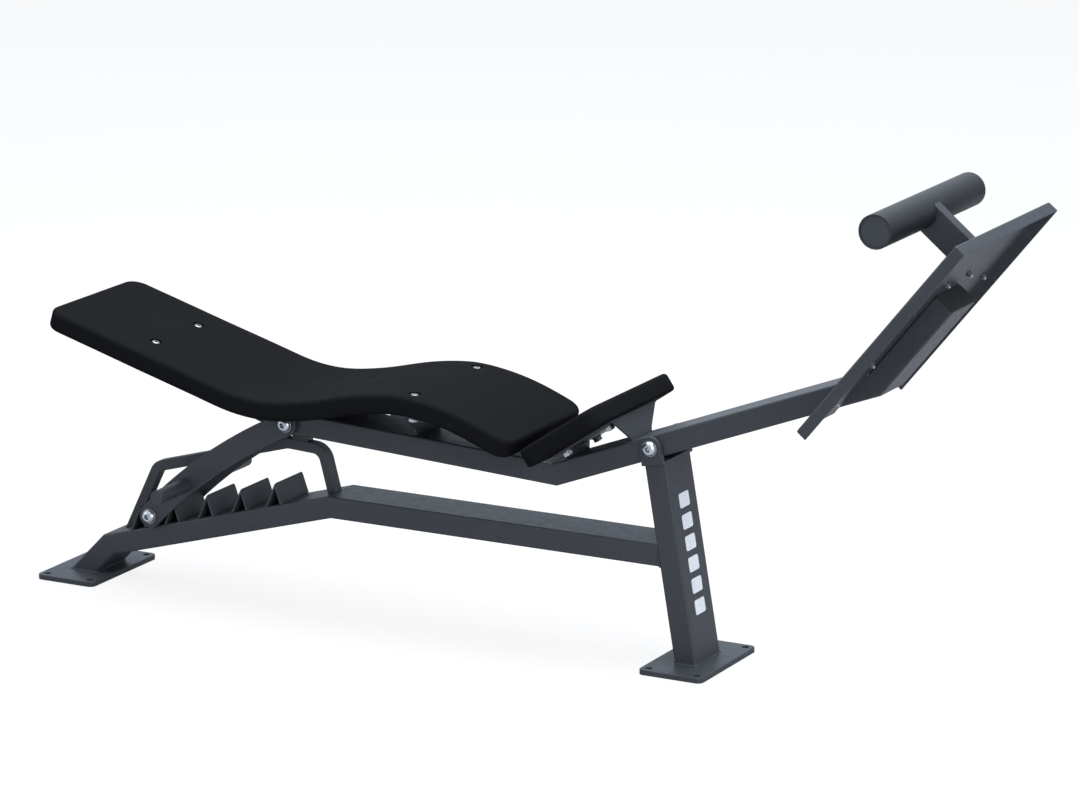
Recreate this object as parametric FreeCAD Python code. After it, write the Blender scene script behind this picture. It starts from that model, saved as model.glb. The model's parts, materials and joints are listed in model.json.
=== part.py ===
import FreeCAD, Part
import os
from math import acos, atan2, cos, degrees, hypot, radians, sin, sqrt, tan
from FreeCAD import Vector as V

# Adjustable outdoor roman chair (sit-up bench): a fixed base frame, and a tilting frame with
# two pads and a foot tray, held up by a prop that stands in a ratchet on the base rail.
# Frame: millimetres, +Z up, +X from the head end to the foot tray, Y = 0 is the symmetry plane.
# Origin: on the floor, below the centre of the rear foot plate.
# Side-view points and directions are (x, z) pairs; angles are degrees from +X towards +Z.

os.makedirs("parts", exist_ok=True)

# ---------------------------------------------------------------- shared dimensions
TUBE_W = 104.0          # frame tube width (Y)
TUBE_H = 43.0           # frame tube height
TUBE_WALL = 3.0
TUBE_R = 4.0            # outer corner radius
PIVOT = (1268.4, 420.4)         # main hinge
PROP_TOP = (479.9, 370.1)       # hinge of the prop on the beam
BEAM_REAR_ANGLE = -2.9
BEAM_FRONT_ANGLE = 20.9
TRAY_ANGLE = 50.9

HINGE_R = 8.0           # M16 hinge bolts
HINGE_HOLE_R = HINGE_R + 0.2
HINGE_RUN = 0.05        # running clearance on the hinge bolts
HINGE_WASHER = 3.0      # room for one washer
SLEEVE_R = 13.0
SLEEVE_GAP = 0.2        # from each sleeve end to the ear or plate beside it
THREAD_GAP = 0.05       # nut bore over bolt radius
SIDES = (-1, 1)         # right (-Y), left (+Y)
ACROSS = V(0, 1, 0)


# ---------------------------------------------------------------- side-view geometry
def direction(angle):
    return (cos(radians(angle)), sin(radians(angle)))


def xz(pair, y=0.0):
    """An (x, z) pair as a vector at the given y."""
    return V(pair[0], y, pair[1])


def shift(point, along, distance, normal=(0.0, 0.0), offset=0.0):
    return (point[0] + along[0] * distance + normal[0] * offset,
            point[1] + along[1] * distance + normal[1] * offset)


def unit(start, end):
    dx, dz = end[0] - start[0], end[1] - start[1]
    length = hypot(dx, dz)
    return (dx / length, dz / length)


def left_of(along):
    return (-along[1], along[0])


def line(point, along):
    return (point, shift(point, along, 100.0))


def crossing(line_a, line_b):
    (x1, z1), (x2, z2) = line_a
    (x3, z3), (x4, z4) = line_b
    den = (x1 - x2) * (z3 - z4) - (z1 - z2) * (x3 - x4)
    a = x1 * z2 - z1 * x2
    b = x3 * z4 - z3 * x4
    return ((a * (x3 - x4) - (x1 - x2) * b) / den, (a * (z3 - z4) - (z1 - z2) * b) / den)


def tangent_point(point, centre, radius, side):
    """Where a line from point touches a circle; side is +1 or -1."""
    dx, dz = point[0] - centre[0], point[1] - centre[1]
    angle = atan2(dz, dx) + side * acos(radius / hypot(dx, dz))
    return (centre[0] + radius * cos(angle), centre[1] + radius * sin(angle))


# ---------------------------------------------------------------- solids
def save(name, *shapes):
    solids = [solid for shape in shapes for solid in shape.Solids]
    result = solids[0] if len(solids) == 1 else Part.makeCompound(solids)
    result.exportStep("parts/%s.step" % name)


def largest(shape):
    return max(shape.Solids, key=lambda solid: solid.Volume)


def rounded_rect(centre, e1, e2, width, height, radius):
    """Closed wire, width along e1 and height along e2."""
    a, b, r = width / 2.0, height / 2.0, radius
    k = r * (1 - sqrt(0.5))

    def at(u, v):
        return centre + e1 * u + e2 * v

    def arc(*points):
        return Part.Arc(*[at(*point) for point in points]).toShape()

    def side(start, end):
        return Part.makeLine(at(*start), at(*end))

    return Part.Wire([
        side((-a + r, -b), (a - r, -b)), arc((a - r, -b), (a - k, -b + k), (a, -b + r)),
        side((a, -b + r), (a, b - r)), arc((a, b - r), (a - k, b - k), (a - r, b)),
        side((a - r, b), (-a + r, b)), arc((-a + r, b), (-a + k, b - k), (-a, b - r)),
        side((-a, b - r), (-a, -b + r)), arc((-a, -b + r), (-a + k, -b + k), (-a + r, -b))])


def rounded_bar(centre, e1, e2, width, height, radius, run):
    """Rounded rectangle extruded along the vector run."""
    return Part.Face(rounded_rect(centre, e1, e2, width, height, radius)).extrude(run)


def prism(points, y0, y1):
    """Closed side-view polygon extruded from y0 to y1."""
    outline = Part.makePolygon([xz(p, y0) for p in points + points[:1]])
    return Part.Face(outline).extrude(V(0, y1 - y0, 0))


def tube(start, end, start_cut=None, end_cut=None,
         width=TUBE_W, height=TUBE_H, wall=TUBE_WALL, radius=TUBE_R):
    """Straight rectangular tube between two centre points; solid if wall is 0.
    The cuts are the directions of the end faces in side view, square if None."""
    along = unit(start, end)
    up = left_of(along)
    square = degrees(atan2(along[1], along[0])) + 90
    overrun = 60.0
    centre = xz(shift(start, along, -overrun))
    run = xz(along) * (hypot(end[0] - start[0], end[1] - start[1]) + 2 * overrun)
    body = rounded_bar(centre, ACROSS, xz(up), width, height, radius, run)
    if wall:
        body = body.cut(rounded_bar(centre, ACROSS, xz(up), width - 2 * wall,
                                    height - 2 * wall, max(radius - wall, 0.8), run))
    reach = height / 2.0 + 22.0

    def cut_line(point, angle):
        face = direction(square if angle is None else angle)
        if face[0] * up[0] + face[1] * up[1] < 0:
            face = (-face[0], -face[1])
        return shift(point, face, -reach), shift(point, face, reach)

    low0, high0 = cut_line(start, start_cut)
    low1, high1 = cut_line(end, end_cut)
    return body.common(prism([low0, high0, high1, low1], -width, width))


def end_cap(end, angle, width, height, thickness, radius):
    """Flat flange with a plug on a tube end; angle is the outward direction."""
    out = direction(angle)
    up = xz(left_of(out))
    plug_depth, gap = 12.0, 0.05
    flange = rounded_bar(xz(shift(end, out, gap)), ACROSS, up, width - 0.4, height - 0.4,
                         radius, xz(out) * thickness)
    plug = rounded_bar(xz(shift(end, out, -plug_depth)), ACROSS, up, width - 6.4, height - 6.4,
                       1.5, xz(out) * (plug_depth + 0.06))
    return flange.fuse(plug).removeSplitter()


def cylinder(start, along, radius, length):
    return Part.makeCylinder(radius, length, start, along)


def ring(start, along, radius, bore_r, length):
    bore = cylinder(start - along * 1.0, along, bore_r, length + 2.0)
    return cylinder(start, along, radius, length).cut(bore)


def facing(start, along):
    """Placement that moves the origin to start and turns +Z to along."""
    return FreeCAD.Placement(start, FreeCAD.Rotation(V(0, 0, 1), along))


def hexagon(start, along, flats, height, bore_r=0.0, chamfer=0.9):
    """Hexagon prism; the chamfer is turned on the corners of the far face."""
    r = flats / sqrt(3.0)
    corners = [V(r * cos(radians(60 * i)), r * sin(radians(60 * i)), 0) for i in range(7)]
    body = Part.Face(Part.makePolygon(corners)).extrude(V(0, 0, height))
    if chamfer:
        depth = 6.0
        cone = Part.makeCone(r + depth, r - chamfer, depth + chamfer,
                             V(0, 0, height - depth - chamfer), V(0, 0, 1))
        base_h = height - depth if height > 6.5 else 0.5
        body = body.common(cone.fuse(Part.makeCylinder(r + depth, base_h, V(0, 0, 0))))
    if bore_r:
        body = body.cut(Part.makeCylinder(bore_r, height + 2, V(0, 0, -1)))
    body.Placement = facing(start, along)
    return body


def bolt(seat, along, radius, length, head_r, head_h):
    """Domed socket head bolt: the head sits at seat, the shank runs along the unit vector."""
    shank = cylinder(seat, along, radius, length)
    rim, flat_r = head_h * 0.12, head_r * 0.52
    centre, edge, edge_top = V(0, 0, 0), V(head_r, 0, 0), V(head_r, 0, -rim)
    flat_edge, crown = V(flat_r, 0, -head_h), V(0, 0, -head_h)
    bulge = V(head_r * 0.86, 0, -(rim + (head_h - rim) * 0.56))
    outline = Part.Wire([Part.makeLine(centre, edge), Part.makeLine(edge, edge_top),
                         Part.Arc(edge_top, bulge, flat_edge).toShape(),
                         Part.makeLine(flat_edge, crown), Part.makeLine(crown, centre)])
    head = Part.Face(outline).revolve(V(0, 0, 0), V(0, 0, 1), 360)
    head.Placement = facing(seat, along)
    body = shank.fuse(head)
    body = body.cut(hexagon(seat - along * (head_h + 0.01), along, radius * 1.25,
                            head_h * 0.6, chamfer=0))
    # 1 mm chamfer on the shank end
    tip = seat + along * (length - 1.0)
    waste = cylinder(tip, along, radius + 1, 2.0).cut(
        Part.makeCone(radius, radius - 1.0, 1.0, tip, along))
    return body.cut(waste).removeSplitter()


# ---------------------------------------------------------------- hinge hardware
# half is the distance from Y = 0 to the outer face of the clamped plates
def hinge_bolt(point, half):
    seat = half + HINGE_WASHER
    thread_end = 16.0
    return bolt(xz(point, -seat), ACROSS, HINGE_R, 2 * seat + thread_end, 14.0, 8.8)


def hinge_nut(point, half):
    return hexagon(xz(point, half + HINGE_WASHER), ACROSS, 24.0, 13.0,
                   bore_r=HINGE_R + THREAD_GAP)


def hinge_washer(point, y):
    return ring(xz(point, y), ACROSS, 15.0, HINGE_R + 0.3, 2.96)


def sleeve(point, half):
    return ring(xz(point, -half), ACROSS, SLEEVE_R, 10.0, 2 * half)


def bushes(point, half):
    length = 30.0
    return [ring(xz(point, y), ACROSS, 9.98, HINGE_R + HINGE_RUN, length)
            for y in (-half + 0.1, half - 0.1 - length)]


# ---------------------------------------------------------------- base frame
PLATE_X, PLATE_Y, PLATE_T = 132.0, 238.0, 10.0
HOLE_DX, HOLE_DY, HOLE_D = 100.0, 206.0, 14.0
PLATE_PITCH = 1340.0    # rear plate centre to front plate centre
STUB_ANGLE = 45.7
STUB_MITRE = (60.5, 70.2)
RAIL_BEND = (570.2, 213.5)      # end of the sloping rail, start of the level one
LEG_LEAN = 9.8          # the front leg leans back at the top
LEG_H = 44.5            # leg tube depth
LEG_TOP_Z = 387.6

rail_along = unit(STUB_MITRE, RAIL_BEND)
RAIL_ANGLE = degrees(atan2(rail_along[1], rail_along[0]))
rail_up = direction(RAIL_ANGLE + 90)
stub_mitre_cut = (RAIL_ANGLE + STUB_ANGLE) / 2 + 90
rail_bend_cut = RAIL_ANGLE / 2 + 90
leg_angle = 90 + LEG_LEAN


def leg_x(z):
    return 1274.0 + (391.0 - z) * tan(radians(LEG_LEAN))


leg_top = (leg_x(LEG_TOP_Z), LEG_TOP_Z)


def foot_plate(centre_x):
    plate = Part.makeBox(PLATE_X, PLATE_Y, PLATE_T, V(centre_x - PLATE_X / 2, -PLATE_Y / 2, 0))
    upright = [e for e in plate.Edges if e.BoundBox.ZLength > PLATE_T - 0.1]
    plate = plate.makeFillet(12.0, upright)
    top = [e for e in plate.Edges if e.BoundBox.ZMin > PLATE_T - 0.01]
    plate = plate.makeChamfer(0.8, top)
    for end in (-1, 1):
        for side in SIDES:
            start = V(centre_x + end * HOLE_DX / 2, side * HOLE_DY / 2, -1)
            plate = plate.cut(cylinder(start, V(0, 0, 1), HOLE_D / 2, PLATE_T + 2))
    return plate


def rear_stub():
    length = (STUB_MITRE[1] - PLATE_T) / sin(radians(STUB_ANGLE))
    foot = shift(STUB_MITRE, direction(STUB_ANGLE), -length)
    return tube(foot, STUB_MITRE, 0.0, stub_mitre_cut)


def base_rail_front():
    leg_half = LEG_H / 2 / cos(radians(LEG_LEAN))
    end = (leg_x(RAIL_BEND[1]) - leg_half, RAIL_BEND[1])
    return tube(RAIL_BEND, end, rail_bend_cut, leg_angle)


save("rear_foot_plate", foot_plate(0.0))
save("front_foot_plate", foot_plate(PLATE_PITCH))
save("rear_stub_tube", rear_stub())
save("base_rail_rear", tube(STUB_MITRE, RAIL_BEND, stub_mitre_cut, rail_bend_cut))
save("front_leg", tube((leg_x(PLATE_T), PLATE_T), leg_top, 0.0, None, height=LEG_H))
save("base_rail_front", base_rail_front())

# ---------------------------------------------------------------- pivot clevis
CLEVIS_IN = TUBE_W / 2 + 1.0    # inside face of the ears
CLEVIS_T = 7.5
CLEVIS_OUT = CLEVIS_IN + CLEVIS_T
EAR_R = 21.2


def pivot_clevis():
    """A base plate on top of the leg with an ear on each side of the beam."""
    up, forward = direction(leg_angle), direction(leg_angle - 90)
    rear = shift(leg_top, forward, -23.4)
    front = shift(leg_top, forward, LEG_H / 2 + 0.27)
    rear_touch = tangent_point(rear, PIVOT, EAR_R, -1)
    front_touch = tangent_point(front, PIVOT, EAR_R, 1)
    base_t = 6.0
    clevis = prism([rear, front, shift(front, up, base_t), shift(rear, up, base_t)],
                   -CLEVIS_OUT, CLEVIS_OUT)
    for y in (-CLEVIS_OUT, CLEVIS_IN):
        ear = prism([rear, front, front_touch, PIVOT, rear_touch], y, y + CLEVIS_T).fuse(
            cylinder(xz(PIVOT, y), ACROSS, EAR_R, CLEVIS_T))
        clevis = clevis.fuse(ear)
    hole = cylinder(xz(PIVOT, -80), ACROSS, HINGE_HOLE_R, 160)
    clevis = clevis.cut(hole).removeSplitter()
    # The rounding of the lower outer edges can fail where the ears meet the base plate;
    # the edges then stay sharp.
    try:
        low = [e for e in clevis.Edges
               if abs(abs(e.BoundBox.Center.y) - CLEVIS_OUT) < 0.01
               and e.BoundBox.ZMax < leg_top[1] + 8 and e.BoundBox.XLength > 40]
        clevis = clevis.makeFillet(3.0, low)
    except Exception:
        pass
    return clevis


save("pivot_clevis", pivot_clevis())

# ---------------------------------------------------------------- ratchet
TOOTH_COUNT = 5
TOOTH_PITCH = 81.0
TOOTH_H = 43.0
TOOTH_FIRST = 102.8     # first ridge, measured along the sloping rail
TOOTH_SHEET = 3.5
WELD_GAP = 0.03         # parts standing on the rail are this far above it
RAIL_X0 = 50.0          # x where distances along the rail start
rail_z0 = (STUB_MITRE[1] + TUBE_H / 2 * rail_up[1]
           + (RAIL_X0 - (STUB_MITRE[0] + TUBE_H / 2 * rail_up[0])) * tan(radians(RAIL_ANGLE)))


def on_rail(distance, height):
    """Point along and above the top face of the sloping rail."""
    return shift((RAIL_X0, rail_z0), rail_along, distance, rail_up, height)


def right_offset(start, end, distance):
    """The line from start to end, moved to its right."""
    normal = left_of(unit(start, end))
    return shift(start, normal, -distance), shift(end, normal, -distance)


def ratchet_tooth(ridge):
    """One folded sheet with its steep face forward; points are (along, above) the rail."""
    rear, top, front = (ridge - 35.0, WELD_GAP), (ridge, TOOTH_H), (ridge + 3.0, WELD_GAP)
    slope_in = right_offset(rear, top, TOOTH_SHEET)
    steep_in = right_offset(top, front, TOOTH_SHEET)
    floor = ((-1000, WELD_GAP), (1000, WELD_GAP))
    outline = [rear, top, front, crossing(steep_in, floor), crossing(slope_in, steep_in),
               crossing(slope_in, floor)]
    sheet = prism([on_rail(*point) for point in outline], -TUBE_W / 2, TUBE_W / 2)
    # rounded upper corners of the ridge
    centre = xz(on_rail(ridge - 60, 0.0)) + xz(rail_up) * (TOOTH_H / 2 - 10.0)
    return sheet.common(rounded_bar(centre, ACROSS, xz(rail_up), TUBE_W, TOOTH_H + 20.0, 5.0,
                                    xz(rail_along) * 120.0))


save("ratchet_teeth", *[ratchet_tooth(TOOTH_FIRST + TOOTH_PITCH * i)
                        for i in range(TOOTH_COUNT)])

# ---------------------------------------------------------------- guard loop and rest block
LOOP_BAR = 21.5         # square bar
# centre line (x, z) from rear to front, and the bend radii at the three inner points
LOOP_POINTS = [(78.9, 79.6), (152.9, 233.2), (452.8, 318.0), (531.4, 314.2), (560.4, 206.45)]
LOOP_RADII = [25.0, 40.0, 28.0]
LOOP_TOP_TILT = 2.62
REST_X0, REST_X1 = 466.0, 500.0


def rounded_path(points, radii):
    edges = []
    current = xz(points[0])
    for i, radius in enumerate(radii, 1):
        corner = xz(points[i])
        back = (xz(points[i - 1]) - corner).normalize()
        ahead = (xz(points[i + 1]) - corner).normalize()
        half = acos(max(-1, min(1, back.dot(ahead)))) / 2
        trim = radius / tan(half)
        start, end = corner + back * trim, corner + ahead * trim
        middle = corner + (back + ahead).normalize() * (radius / sin(half) - radius)
        edges.append(Part.makeLine(current, start))
        edges.append(Part.Arc(start, middle, end).toShape())
        current = end
    edges.append(Part.makeLine(current, xz(points[-1])))
    return Part.Wire(edges)


def guard_loop():
    """Bent square bar in the middle plane, trimmed to the top of the rail."""
    up = left_of(unit(LOOP_POINTS[0], LOOP_POINTS[1]))
    profile = rounded_rect(xz(LOOP_POINTS[0]), ACROSS, xz(up), LOOP_BAR, LOOP_BAR, 2.0)
    loop = rounded_path(LOOP_POINTS, LOOP_RADII).makePipeShell([profile], True, False)
    level_z = RAIL_BEND[1] + TUBE_H / 2 + WELD_GAP
    bend = (level_z - on_rail(0, WELD_GAP)[1]) / rail_along[1]
    below = prism([on_rail(-80, -80), on_rail(bend, -80), (700, 120), (700, level_z),
                   on_rail(bend, WELD_GAP), on_rail(0, WELD_GAP), on_rail(-80, WELD_GAP)],
                  -30, 30)
    return largest(loop.cut(below))


def loop_top_z(x):
    (x0, z0), (x1, z1) = LOOP_POINTS[2:4]
    return z0 + (x - x0) * (z1 - z0) / (x1 - x0) + LOOP_BAR / 2 / cos(radians(LOOP_TOP_TILT))


def beam_rear_z(x, offset):
    """Height at x of a line parallel to the rear beam's axis, offset square to it."""
    slope = radians(BEAM_REAR_ANGLE)
    return 359.0 + (x - 728.8) * tan(slope) + offset / cos(slope)


def beam_front_z(x, offset=0.0):
    slope = radians(BEAM_FRONT_ANGLE)
    return PIVOT[1] + (x - PIVOT[0]) * tan(slope) + offset / cos(slope)


def rest_block():
    """Block between the top of the guard loop and the underside of the beam."""
    bottom = [(x, loop_top_z(x) + 0.05) for x in (REST_X0, REST_X1)]
    top = [(x, beam_rear_z(x, -TUBE_H / 2) - 0.3) for x in (REST_X1, REST_X0)]
    return prism(bottom + top, -LOOP_BAR / 2, LOOP_BAR / 2)


save("guard_loop", guard_loop())
save("rest_block", rest_block())

save("pivot_bolt", hinge_bolt(PIVOT, CLEVIS_OUT))
save("pivot_washers", hinge_washer(PIVOT, -(CLEVIS_OUT + 3.0)),
     hinge_washer(PIVOT, CLEVIS_OUT + 0.02))
save("pivot_nut", hinge_nut(PIVOT, CLEVIS_OUT))

# ---------------------------------------------------------------- tilting frame
TRAY_ORIGIN = (1641.8, 539.55)  # on the tray's front plane, near its lower end
TRAY_T = 3.0                    # sheet
BEAM_END_X = 430.0
SPINE_L = 212.0
END_PLATE_T = 4.0
PROP_IN = TUBE_W / 2 + 3.0      # inside face of the prop plates

beam_along = direction(BEAM_REAR_ANGLE)
beam_up = direction(BEAM_REAR_ANGLE + 90)
front_along = direction(BEAM_FRONT_ANGLE)
front_up = direction(BEAM_FRONT_ANGLE + 90)
tray_along = direction(TRAY_ANGLE)
tray_back = direction(TRAY_ANGLE - 90)

beam_end = (BEAM_END_X, beam_rear_z(BEAM_END_X, 0))
front_line = line(PIVOT, front_along)
spine_line = line(shift(TRAY_ORIGIN, tray_back, TRAY_T + 0.08 + TUBE_H / 2), tray_along)
knee = crossing(front_line, line(beam_end, beam_along))
spine_foot = crossing(front_line, spine_line)
spine_end = shift(spine_foot, tray_along, SPINE_L)
knee_cut = (BEAM_REAR_ANGLE + BEAM_FRONT_ANGLE) / 2 + 90
spine_cut = (BEAM_FRONT_ANGLE + TRAY_ANGLE) / 2 + 90


def sleeve_hole(point):
    return cylinder(xz(point, -60), ACROSS, SLEEVE_R + 0.02, 120)


save("beam_rear", tube(beam_end, knee, None, knee_cut).cut(sleeve_hole(PROP_TOP)))
save("beam_front", tube(knee, spine_foot, knee_cut, spine_cut).cut(sleeve_hole(PIVOT)))
save("spine_tube", tube(spine_foot, spine_end, spine_cut, None))
save("spine_cap", end_cap(spine_end, TRAY_ANGLE, TUBE_W, TUBE_H, 3.0, TUBE_R))
# closing plate on the rear end of the beam, between the beam and the head arm
save("beam_end_plate",
     rounded_bar(xz(shift(beam_end, beam_along, -0.03)), ACROSS, xz(beam_up), TUBE_W - 1.0,
                 TUBE_H - 1.0, 5.0, xz(beam_along) * -END_PLATE_T))
save("pivot_sleeve", sleeve(PIVOT, CLEVIS_IN - SLEEVE_GAP))
save("pivot_bushes", *bushes(PIVOT, CLEVIS_IN - SLEEVE_GAP))
save("prop_pivot_sleeve", sleeve(PROP_TOP, PROP_IN - SLEEVE_GAP))
save("prop_pivot_bushes", *bushes(PROP_TOP, PROP_IN - SLEEVE_GAP))

# ---------------------------------------------------------------- long pad and seat pad
PAD_T = 39.0
PAD_W = 314.0
PAD_CORNER = 40.0       # plan corner radius
# middle of the long pad's thickness: (x, z) from the head end forward
PAD_MIDLINE = [
    (-6.0, 547.3), (60.0, 528.1), (130.0, 507.7), (212.0, 483.6), (280.0, 464.1),
    (350.0, 443.8), (413.0, 426.5), (463.0, 419.6), (505.0, 419.4), (552.0, 424.8),
    (607.0, 435.2), (676.0, 451.7), (743.0, 462.3), (785.0, 464.6), (830.0, 460.6),
    (875.0, 452.2), (919.0, 439.8), (954.0, 427.0), (980.0, 416.2), (1014.0, 400.9)]
HEAD_X, HEAD_Y = 194.4, 77.5    # bolts at the head arm
MID_X, MID_Y = 801.0, 121.0     # bolts at the centre bracket

SEAT_T = 37.0
SEAT_W = 330.0
SEAT_ANGLE = 34.1
SEAT_BASE = (1064.0, 379.0)     # origin on the underside, near its lower rear edge
SEAT_START, SEAT_L = -8.0, 195.0
SEAT_CORNER = 30.0
SEAT_BOLTS = (33.0, 140.0)      # distances up the slope
SEAT_BOLT_Y = 60.0

PAD_BOLT_R = 5.0
PAD_HOLE_R = PAD_BOLT_R + 0.4
RECESS_R, RECESS = 12.0, 7.0    # pocket for the bolt head in the top of the pad
PAD_WASHER_T = 1.5
HEAD_PLATE_T = 4.0
MID_BRACKET_T = 5.0
SEAT_BRACKET_T = 4.0

midline = Part.BSplineCurve()
midline.interpolate([xz(point) for point in PAD_MIDLINE])
seat_along, seat_up = direction(SEAT_ANGLE), direction(SEAT_ANGLE + 90)
seat_normal = xz(seat_up)


def midline_frame(parameter):
    """Point on the pad's midline and the upward normal there."""
    tangent = V(*midline.tangent(parameter)[0])
    return midline.value(parameter), V(-tangent.z, 0, tangent.x)


def pad_frame(x):
    low, high = midline.FirstParameter, midline.LastParameter
    for _ in range(60):
        middle = (low + high) / 2
        if midline.value(middle).x < x:
            low = middle
        else:
            high = middle
    return midline_frame(low)


def offset_curve(distance, count=60):
    u0, u1 = midline.FirstParameter, midline.LastParameter
    points = []
    for i in range(count + 1):
        point, normal = midline_frame(u0 + (u1 - u0) * i / count)
        points.append(point + normal * distance)
    curve = Part.BSplineCurve()
    curve.interpolate(points)
    return curve, points


def pad_sites(x, bolt_y):
    """(point on the pad's underside, normal) for a pair of bolts."""
    point, normal = pad_frame(x)
    return [(V(point.x, side * bolt_y, point.z) - normal * (PAD_T / 2), normal)
            for side in SIDES]


head_sites = pad_sites(HEAD_X, HEAD_Y)
mid_sites = pad_sites(MID_X, MID_Y)
seat_sites = [(xz(shift(SEAT_BASE, seat_along, s), side * SEAT_BOLT_Y), seat_normal)
              for s in SEAT_BOLTS for side in SIDES]


def drill_pad(pad, sites, thickness):
    for bottom, normal in sites:
        top = bottom + normal * thickness
        pad = pad.cut(cylinder(top - normal * RECESS, normal, RECESS_R, RECESS + 12))
        pad = pad.cut(cylinder(bottom - normal * 2, normal, PAD_HOLE_R, thickness + 4))
    return pad


def drill_plate(plate, sites, depth):
    for bottom, normal in sites:
        plate = plate.cut(cylinder(bottom - normal * depth, normal, PAD_HOLE_R, depth + 2))
    return plate


def long_pad():
    top, top_points = offset_curve(PAD_T / 2)
    bottom, bottom_points = offset_curve(-PAD_T / 2)
    outline = Part.Face(Part.Wire([
        top.toShape(), Part.makeLine(top_points[-1], bottom_points[-1]),
        bottom.toShape(), Part.makeLine(bottom_points[0], top_points[0])]))
    outline.translate(V(0, -PAD_W / 2, 0))
    pad = outline.extrude(V(0, PAD_W, 0))
    # rounded plan corners
    x0 = (top_points[0].x + bottom_points[0].x) / 2 - 2.0
    x1 = (top_points[-1].x + bottom_points[-1].x) / 2 + 4.0
    pad = pad.common(rounded_bar(V((x0 + x1) / 2, 0, 300), V(1, 0, 0), ACROSS,
                                 x1 - x0 + 16.0, PAD_W, PAD_CORNER, V(0, 0, 400)))
    return drill_pad(pad, head_sites + mid_sites, PAD_T)


def seat_pad():
    """Flat slab sloping up towards the pivot."""
    rear = shift(SEAT_BASE, seat_along, SEAT_START)
    front = shift(SEAT_BASE, seat_along, SEAT_START + SEAT_L)
    slab = prism([rear, front, shift(front, seat_up, SEAT_T), shift(rear, seat_up, SEAT_T)],
                 -SEAT_W / 2, SEAT_W / 2)
    corners = []
    for edge in slab.Edges:
        a, b = [vertex.Point for vertex in edge.Vertexes]
        if abs(abs((b - a).normalize().dot(seat_normal)) - 1) < 1e-4:
            corners.append(edge)
    slab = slab.makeFillet(SEAT_CORNER, corners)
    return drill_pad(slab, seat_sites, SEAT_T)


def pad_hardware():
    # sites, pad thickness, underside of pad to underside of plate, shank below the pad
    groups = [(head_sites, PAD_T, HEAD_PLATE_T + 0.35, 16.3),
              (mid_sites, PAD_T, MID_BRACKET_T + 0.75, 16.3),
              (seat_sites, SEAT_T, SEAT_BRACKET_T + 0.35, 14.3)]
    bolts, washers, nuts = [], [], []
    for sites, thickness, plate_depth, reach in groups:
        for bottom, normal in sites:
            washer_at = bottom + normal * (thickness - RECESS + 0.05)
            washers.append(ring(washer_at, normal, 11.0, PAD_BOLT_R + 0.3, 1.45))
            bolts.append(bolt(washer_at + normal * PAD_WASHER_T, normal * -1.0, PAD_BOLT_R,
                              thickness - RECESS + PAD_WASHER_T + reach, 9.5, 4.6))
            washers.append(ring(bottom - normal * (plate_depth + 1.6), normal, 10.0,
                                PAD_BOLT_R + 0.3, 1.55))
            nuts.append(hexagon(bottom - normal * (plate_depth + 1.7), normal * -1.0, 17.0,
                                7.5, bore_r=PAD_BOLT_R + THREAD_GAP))
    return bolts, washers, nuts


save("long_pad", long_pad())
save("seat_pad", seat_pad())
pad_bolts, pad_washers, pad_nuts = pad_hardware()
save("pad_bolts", *pad_bolts)
save("pad_washers", *pad_washers)
save("pad_nuts", *pad_nuts)

# ---------------------------------------------------------------- head arm
# lighter tube carrying the head end of the long pad
ARM_H, ARM_W, ARM_R = 26.0, 100.0, 3.0
HEAD_PLATE_GAP = 0.15           # below the pad
ARM_OVERHANG = 42.0             # arm beyond the bolt row

head_point, head_normal = pad_frame(HEAD_X)
arm_rest = head_point - head_normal * (PAD_T / 2 + HEAD_PLATE_GAP + HEAD_PLATE_T + 0.04)
arm_rest = (arm_rest.x, arm_rest.z)             # top of the arm at the bolt row
arm_top = (beam_end[0] - END_PLATE_T - 0.1, 389.2)      # top of the arm near the beam
arm_along = unit(arm_rest, arm_top)
arm_angle = degrees(atan2(arm_along[1], arm_along[0]))
arm_front = shift(arm_top, left_of(arm_along), -ARM_H / 2)
arm_rear = shift(arm_front, arm_along,
                 -(hypot(arm_top[0] - arm_rest[0], arm_top[1] - arm_rest[1]) + ARM_OVERHANG))
arm_end = crossing((arm_rear, arm_front),
                   line(shift(beam_end, beam_along, -END_PLATE_T - 0.06), beam_up))


def under_pad_strip(x0, x1, width, thickness, gap, count):
    """Plate following the underside of the long pad from x0 to x1."""
    upper, lower = [], []
    for i in range(count + 1):
        point, normal = pad_frame(x0 + (x1 - x0) * i / count)
        for row, depth in ((upper, gap), (lower, gap + thickness)):
            place = point - normal * (PAD_T / 2 + depth)
            row.append((place.x, place.z))
    return prism(upper + lower[::-1], -width / 2, width / 2)


def head_cross_plate():
    plate = under_pad_strip(HEAD_X - 20, HEAD_X + 20, 200.0, HEAD_PLATE_T, HEAD_PLATE_GAP, 2)
    plate = drill_plate(plate, head_sites, 12)
    # clear the arm below
    plate = plate.cut(tube(shift(arm_rear, arm_along, 5), shift(arm_front, arm_along, -40),
                           width=ARM_W + 0.06, height=ARM_H + 0.06, wall=0, radius=ARM_R))
    return largest(plate)


save("head_arm", tube(arm_rear, arm_end, None, BEAM_REAR_ANGLE + 90,
                      width=ARM_W, height=ARM_H, wall=2.5, radius=ARM_R))
save("head_arm_cap", end_cap(arm_rear, arm_angle + 180, ARM_W, ARM_H, 2.5, ARM_R))
save("head_cross_plate", head_cross_plate())

# ---------------------------------------------------------------- pad brackets
BRACKET_GAP = 0.3       # below the pads
MID_WEB_X = 759.0
SEAT_WEB_X = 1229.0
SEAT_FOOT_S = 20.0      # rear foot of the seat bracket, measured up the slope


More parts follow.
